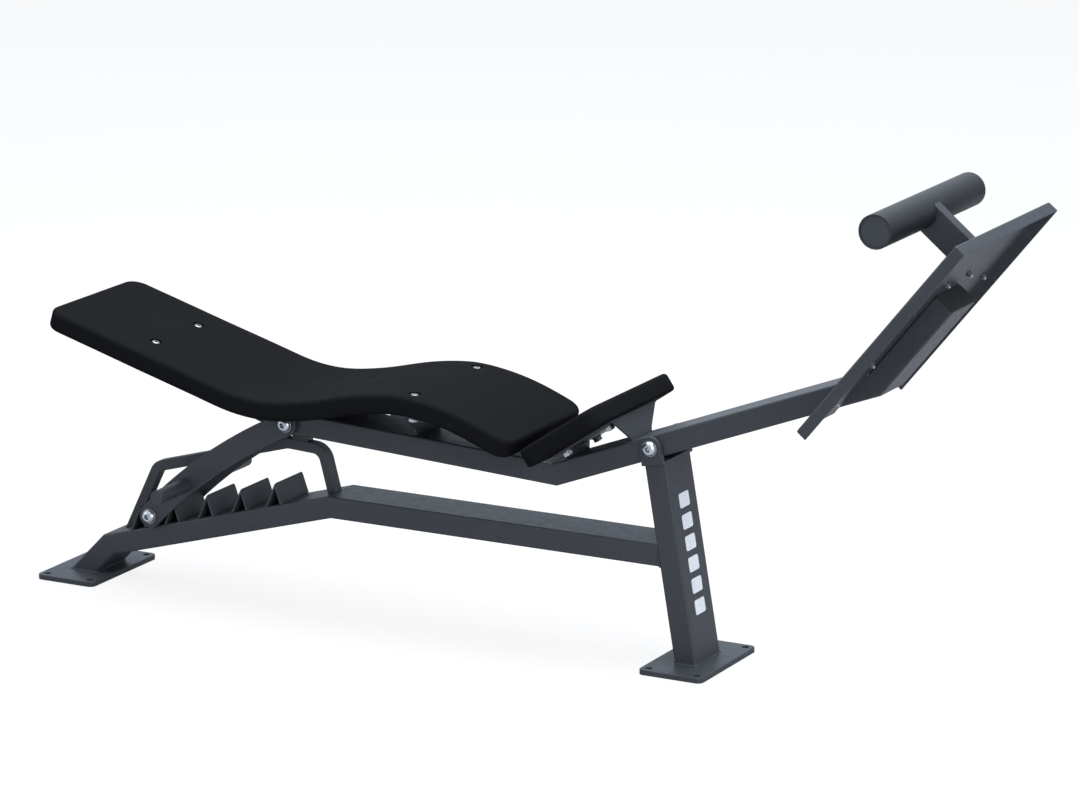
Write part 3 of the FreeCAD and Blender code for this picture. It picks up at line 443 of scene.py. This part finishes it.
def cut_bores(obj, bores):
    """Cuts the counterbores and rounds their rims; bores are (surface point, outward normal)."""
    cutter = bore_cutter(bores)
    cut = obj.modifiers.new("holes", "BOOLEAN")
    cut.object = cutter
    cut.operation = "DIFFERENCE"
    cut.solver = "EXACT"
    bake(obj)
    bpy.data.objects.remove(cutter, do_unlink=True)
    bm = bmesh.new()
    bm.from_mesh(obj.data)
    rims = [edge for edge in bm.edges if is_rim(edge, bores)]
    bmesh.ops.bevel(bm, geom=rims, offset=RIM_BEVEL, segments=3, profile=0.5,
                    affect="EDGES", clamp_overlap=True)
    bm.to_mesh(obj.data)
    bm.free()
    for polygon in obj.data.polygons:
        polygon.use_smooth = True
    obj.data.set_sharp_from_angle(angle=math.radians(38))


def finish_pad(pad, bores, replaced):
    cut_bores(pad, bores)
    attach(pad, "upper_frame")
    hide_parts(replaced)


# ------------------------------------------------------------------ long pad
# Side view of the pad's mid-thickness line: (x, z) in millimetres.
PAD_LINE_MM = [
    (-6.0, 547.3), (60.0, 528.1), (130.0, 507.7), (212.0, 483.6), (280.0, 464.1),
    (350.0, 443.8), (413.0, 426.5), (463.0, 419.6), (505.0, 419.4), (552.0, 424.8),
    (607.0, 435.2), (676.0, 451.7), (743.0, 462.3), (785.0, 464.6), (830.0, 460.6),
    (875.0, 452.2), (919.0, 439.8), (954.0, 427.0), (980.0, 416.2), (1014.0, 400.9)]
PAD_THICKNESS = 0.039
PAD_BORES = ((0.1944, 0.0775), (0.801, 0.121))      # x, distance from the y = 0 plane
EDGE_RADIUS = 0.0085                                # of both pads


def distance_along(x, z):
    return np.concatenate([[0], np.cumsum(np.hypot(np.diff(x), np.diff(z)))])


def natural_spline(knots, values):
    """Natural cubic spline through the values at the knots, as a function."""
    n = len(knots) - 1
    h = np.diff(knots)
    matrix = np.zeros((n + 1, n + 1))
    right = np.zeros(n + 1)
    matrix[0, 0] = matrix[n, n] = 1
    for i in range(1, n):
        matrix[i, i - 1], matrix[i, i], matrix[i, i + 1] = h[i - 1], 2 * (h[i - 1] + h[i]), h[i]
        right[i] = 6 * ((values[i + 1] - values[i]) / h[i] - (values[i] - values[i - 1]) / h[i - 1])
    curve = np.linalg.solve(matrix, right)      # second derivatives at the knots

    def evaluate(t):
        i = int(np.clip(np.searchsorted(knots, t) - 1, 0, n - 1))
        after, before = knots[i + 1] - t, t - knots[i]
        return ((curve[i] * after ** 3 + curve[i + 1] * before ** 3) / (6 * h[i])
                + (values[i] / h[i] - curve[i] * h[i] / 6) * after
                + (values[i + 1] / h[i] - curve[i + 1] * h[i] / 6) * before)
    return evaluate


def add_long_pad():
    stations = np.array(PAD_LINE_MM) / 1000.0
    chord = distance_along(stations[:, 0], stations[:, 1])
    samples = np.linspace(0, chord[-1], 1600)
    spline_x, spline_z = (natural_spline(chord, stations[:, k]) for k in (0, 1))
    line_x = np.array([spline_x(t) for t in samples])
    line_z = np.array([spline_z(t) for t in samples])
    line_s = distance_along(line_x, line_z)
    slope_x, slope_z = np.gradient(line_x, line_s), np.gradient(line_z, line_s)
    length = float(line_s[-1])

    def line_at(s):
        """Point and unit tangent at distance s along the line: x, z, tangent x, tangent z."""
        x, z, dx, dz = (np.interp(s, line_s, row) for row in (line_x, line_z, slope_x, slope_z))
        size = math.hypot(dx, dz)
        return x, z, dx / size, dz / size

    def place(u, v, height):
        x, z, dx, dz = line_at(u + length / 2)
        return Vector((x - dz * height, v, z + dx * height))

    lo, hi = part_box("long_pad")
    width = hi.y - lo.y
    profile = edge_profile(PAD_THICKNESS, EDGE_RADIUS, EDGE_RADIUS, width)
    pad = slab("long_pad_moulded", length, width, corner_radius=0.035, profile=profile,
               place=place, steps_u=150, steps_v=26)
    bores = []
    for bore_x, bore_y in PAD_BORES:
        x, z, dx, dz = line_at(float(np.interp(bore_x, line_x, line_s)))
        normal = Vector((-dz, 0, dx))
        for side in (-1, 1):
            bores.append((Vector((x, side * bore_y, z)) + normal * (PAD_THICKNESS / 2), normal))
    finish_pad(pad, bores, "long_pad")


# ------------------------------------------------------------------ seat pad
SEAT_TILT = math.radians(34.1)                      # rises towards +X
SEAT_ORIGIN = Vector((1.064, 0, 0.379))             # on the underside
SEAT_ALONG = Vector((math.cos(SEAT_TILT), 0, math.sin(SEAT_TILT)))
SEAT_UP = Vector((-math.sin(SEAT_TILT), 0, math.cos(SEAT_TILT)))
SEAT_START, SEAT_LENGTH, SEAT_THICKNESS = -0.008, 0.195, 0.037
SEAT_BORES_ALONG, SEAT_BORE_Y = (0.033, 0.140), 0.060


def add_seat_pad():
    def place(u, v, height):
        return (SEAT_ORIGIN + SEAT_ALONG * (u + SEAT_START + SEAT_LENGTH / 2)
                + Vector((0, v, 0)) + SEAT_UP * (height + SEAT_THICKNESS / 2))

    lo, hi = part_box("seat_pad")
    width = hi.y - lo.y
    profile = edge_profile(SEAT_THICKNESS, EDGE_RADIUS, 0.0060, min(width, SEAT_LENGTH))
    pad = slab("seat_pad_moulded", SEAT_LENGTH, width, corner_radius=0.032, profile=profile,
               place=place, steps_u=20, steps_v=32)
    bores = [(SEAT_ORIGIN + SEAT_ALONG * s + Vector((0, side * SEAT_BORE_Y, 0))
              + SEAT_UP * SEAT_THICKNESS, SEAT_UP)
             for s in SEAT_BORES_ALONG for side in (-1, 1)]
    finish_pad(pad, bores, "seat_pad")


# ------------------------------------------------------------------ tread mat
TREAD_TILT = math.radians(50.9)                     # rises towards +X
TREAD_ORIGIN = Vector((1.6418, 0, 0.53955))
TREAD_ALONG = Vector((math.cos(TREAD_TILT), 0, math.sin(TREAD_TILT)))
TREAD_DOWN = Vector((math.sin(TREAD_TILT), 0, -math.cos(TREAD_TILT)))
TREAD_HOLES = [(0.045, 0.125), (0.137, 0.100), (0.291, 0.170), (0.330, 0.050)]  # along, |y|
HOLE_CLEARANCE = 0.0175     # least distance from a hole's centre to a stud's
STUD_MARGIN = 0.012         # least distance from the mat's edges and cut-outs
STUD_PITCH = 0.0195
STUD_ROW_STEP = STUD_PITCH * 0.866
STUD_FOOT, STUD_TOP, STUD_HEIGHT = 0.0068, 0.0052, 0.0012   # radii and height
STUD_BASE = -0.00355        # along TREAD_DOWN, so above the origin's plane
STUD_SIDES = 16
# Stud profile from foot to top: (radius, offset along TREAD_DOWN).
STUD_RINGS = [(STUD_FOOT, 0.0004), (STUD_FOOT, -0.0004),
              ((STUD_FOOT + STUD_TOP) / 2, -STUD_HEIGHT * 0.75),
              (STUD_TOP, -STUD_HEIGHT), (STUD_TOP * 0.55, -STUD_HEIGHT * 1.08)]


def stud_fits(s, y):
    m = STUD_MARGIN
    y = abs(y)
    if not (0.018 + m < s < 0.451 - m and y < 0.192 - m):
        return False
    if s < 0.094 + m and y < 0.0512 + m:                    # cut-out at the low end
        return False
    if 0.350 - m < s < 0.408 + m and y < 0.0125 + m:        # slot near the high end
        return False
    return all(math.hypot(s - a, y - b) > HOLE_CLEARANCE for a, b in TREAD_HOLES)


def stud_centres():
    """Staggered rows of (distance along the tread, y)."""
    centres = []
    row, s = 0, 0.025
    while s < 0.458:
        y = -0.2 + (0.0 if row % 2 else STUD_PITCH / 2)
        while y < 0.2:
            if stud_fits(s, y):
                centres.append((s, y))
            y += STUD_PITCH
        s += STUD_ROW_STEP
        row += 1
    return centres


def add_tread_mat():
    mat = bpy.data.objects.new("tread_mat_base", nodes["tread_mat"].data.copy())
    collection.objects.link(mat)
    bevel = mat.modifiers.new("round", "BEVEL")
    bevel.width = 0.0007
    bevel.segments = 2
    bevel.limit_method = "ANGLE"
    bevel.angle_limit = math.radians(40)
    bake(mat)
    assign(mat, M_MAT)

    verts, faces = [], []
    for s, y in stud_centres():
        faces += tube_faces(len(verts), len(STUD_RINGS), STUD_SIDES)
        for radius, offset in STUD_RINGS:
            for i in range(STUD_SIDES):
                t = 2 * math.pi * i / STUD_SIDES
                verts.append(TREAD_ORIGIN + TREAD_ALONG * (s + radius * math.cos(t))
                             + TREAD_DOWN * (STUD_BASE + offset)
                             + Vector((0, y + radius * math.sin(t), 0)))
    studs = add_mesh("tread_mat_studs", verts, faces, M_MAT)
    fix_normals(studs)
    for obj in (mat, studs):
        obj.data.set_sharp_from_angle(angle=math.radians(50))
        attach(obj, "upper_frame")
    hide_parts("tread_mat")


# ------------------------------------------------------------------ printed bars on the leg
LEG_LEAN = math.radians(9.8)                        # the leg's top leans towards -X
LEG_X, LEG_Z = 1.2740, 0.391                        # a point on its centre line
LEG_HALF = 0.02225 / math.cos(LEG_LEAN)             # half its depth, measured level along X
LEG_UP = Vector((-math.sin(LEG_LEAN), 0, math.cos(LEG_LEAN)))
LEG_OUT = Vector((math.cos(LEG_LEAN), 0, math.sin(LEG_LEAN)))
BAR_COUNT, BAR_HEIGHT, BAR_GAP = 6, 0.028, 0.013
BAR_WIDTH, BAR_CORNER = 0.040, 0.0045
BARS_Z = 0.213                                      # middle of the column of bars
BAR_LAYERS = (0.00004, 0.00020)                     # back and face, out from the leg


def leg_centre_x(z):
    return LEG_X + (LEG_Z - z) * math.tan(LEG_LEAN)


def add_leg_bars():
    """Column of rounded bars on the +X face of the leg."""
    material = white_print()
    middle = Vector((leg_centre_x(BARS_Z) + LEG_HALF, 0.0, BARS_Z))
    total = BAR_COUNT * BAR_HEIGHT + (BAR_COUNT - 1) * BAR_GAP
    outline = rounded_rectangle(BAR_WIDTH / 2, BAR_HEIGHT / 2, BAR_CORNER,
                                steps_x=1, steps_y=1, corner_steps=6)
    verts, faces = [], []
    for bar in range(BAR_COUNT):
        centre = -total / 2 + BAR_HEIGHT / 2 + bar * (BAR_HEIGHT + BAR_GAP)
        faces += tube_faces(len(verts), 2, len(outline))
        for out in BAR_LAYERS:
            for y, rise in outline:
                verts.append(middle + LEG_UP * (centre + rise) + Vector((0, y, 0))
                             + LEG_OUT * out)
    bars = add_mesh("leg_plain_bars", verts, faces, material, smooth=False)
    fix_normals(bars)
    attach(bars, "base")


# ------------------------------------------------------------------ weld beads
WELD_HALF_WIDTH = 0.052
FOOT_Z = 0.010
FOOT_BEAD, RAIL_BEAD = 0.0021, 0.0017               # bead radii
RAIL_WELD_TOP, RAIL_WELD_BOTTOM = 0.235, 0.192
STUB_TILT = math.radians(45.7)                      # from the horizontal
STUB_FOOT_X = 0.0605 - 0.0602 / math.tan(STUB_TILT)
STUB_HALF = 0.0215 / math.sin(STUB_TILT)            # half its depth, measured level along X
BEAD_STEP = 0.0011
BEAD_SIDES = 8


def add_bead(name, corners, radius):
    """Rippled weld bead laid along a closed polyline."""
    corners = [Vector(corner) for corner in corners]
    corners.append(corners[0])
    path, travelled = [], 0.0
    for a, b in zip(corners[:-1], corners[1:]):
        length = (b - a).length
        steps = max(2, int(length / BEAD_STEP))
        path += [(a.lerp(b, i / steps), travelled + length * i / steps) for i in range(steps)]
        travelled += length
    path.append((corners[-1], travelled))
    last = len(path) - 1
    verts = []
    for i, (point, along) in enumerate(path):
        tangent = (path[min(i + 1, last)][0] - path[max(i - 1, 0)][0]).normalized()
        # Any direction that is parallel to no stretch of bead will do here.
        across = tangent.cross(Vector((0.31, 0.52, 0.79))).normalized()
        other = tangent.cross(across)
        # Short ripples over a slower swell.
        size = radius * (0.92 + 0.14 * math.sin(2 * math.pi * along / 0.0034)
                         + 0.05 * math.sin(2 * math.pi * along / 0.021))
        for k in range(BEAD_SIDES):
            t = 2 * math.pi * k / BEAD_SIDES
            verts.append(point + across * (size * math.cos(t)) + other * (size * math.sin(t)))
    bead = add_mesh(name, verts, tube_faces(0, len(path), BEAD_SIDES), M_COAT)
    fix_normals(bead)
    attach(bead, "base")


def add_foot_bead(name, x, half):
    w = WELD_HALF_WIDTH
    add_bead(name, [(x - half, -w, FOOT_Z), (x + half, -w, FOOT_Z),
                    (x + half, w, FOOT_Z), (x - half, w, FOOT_Z)], FOOT_BEAD)


def add_welds():
    add_foot_bead("weld_leg_foot", leg_centre_x(FOOT_Z), LEG_HALF)
    add_foot_bead("weld_stub_foot", STUB_FOOT_X, STUB_HALF)
    # Around the rail, on the -X face of the leg.
    w = WELD_HALF_WIDTH
    corners = [(-w, RAIL_WELD_TOP), (w, RAIL_WELD_TOP), (w, RAIL_WELD_BOTTOM),
               (-w, RAIL_WELD_BOTTOM)]
    add_bead("weld_rail_leg", [(leg_centre_x(z) - LEG_HALF, y, z) for y, z in corners], RAIL_BEAD)


# ------------------------------------------------------------------ stage, light, camera
def add_floor():
    half = 30
    corners = [(-half, -half, 0), (half, -half, 0), (half, half, 0), (-half, half, 0)]
    floor = add_mesh("stage_floor", corners, [(0, 1, 2, 3)], floor_material(), smooth=False)
    floor.location.z = -0.0006


def add_world():
    """White to the camera; a cool gradient, brighter overhead, to everything else."""
    world = bpy.data.worlds.new("studio")
    scene.world = world
    g = Graph(world)
    output = g.add("OutputWorld")
    backdrop = g.add("Background", Color=(1, 1, 1), Strength=1.0)
    direction = g.add("TexCoord").outputs["Generated"]
    z = g.add("SeparateXYZ", direction).outputs["Z"]
    height = g.add("MapRange", Value=z, From_Min=-1, From_Max=1).outputs[0]
    sky = g.ramp(height, (0.45, (0.47, 0.50, 0.56)), (0.95, (1.16, 1.28, 1.46)))
    light = g.add("Background", Color=sky, Strength=0.66)
    camera_ray = g.add("LightPath").outputs["Is Camera Ray"]
    both = g.add("MixShader", camera_ray, light.outputs[0], backdrop.outputs[0])
    g.feed(output.inputs["Surface"], both.outputs[0])


def add_area(name, location, target, size, watts, color=(1, 1, 1)):
    light = bpy.data.lights.new(name, "AREA")
    light.shape = "RECTANGLE"
    light.size, light.size_y = size
    light.energy = watts
    light.color = color
    obj = bpy.data.objects.new(name, light)
    collection.objects.link(obj)
    obj.location = location
    aim = Vector(target) - Vector(location)
    obj.rotation_euler = aim.to_track_quat("-Z", "Y").to_euler()


def add_lights():
    add_area("top_light", location=(0.9, 0.3, 4.2), target=(0.95, 0.0, 0.3),
             size=(4.0, 3.0), watts=262.0, color=(0.97, 0.985, 1.0))
    add_area("front_light", location=(4.9, -2.7, 1.9), target=(1.0, 0.0, 0.4),
             size=(3.0, 2.2), watts=112.0)
    add_area("back_light", location=(-1.6, 5.2, 2.0), target=(0.8, 0.0, 0.3),
             size=(6.0, 2.4), watts=24.0, color=(0.72, 0.86, 1.0))
    add_area("side_light", location=(-3.2, -2.6, 2.0), target=(0.8, 0.0, 0.4),
             size=(2.5, 2.0), watts=24.0)


def add_camera():
    lens = bpy.data.cameras.new("camera")
    lens.sensor_width = 36.0
    lens.lens = 164.28
    lens.shift_x = 0.0005
    lens.shift_y = -0.0005
    camera = bpy.data.objects.new("camera", lens)
    collection.objects.link(camera)
    camera.location = (5.25307, -7.92764, 2.74888)
    camera.rotation_euler = (math.radians(75.725), 0.0, math.radians(28.198))
    scene.camera = camera
    scene.view_settings.view_transform = "Standard"
    scene.view_settings.look = "None"


assign_cad_materials()
add_long_pad()
add_seat_pad()
add_tread_mat()
add_leg_bars()
add_welds()
add_floor()
add_world()
add_lights()
add_camera()
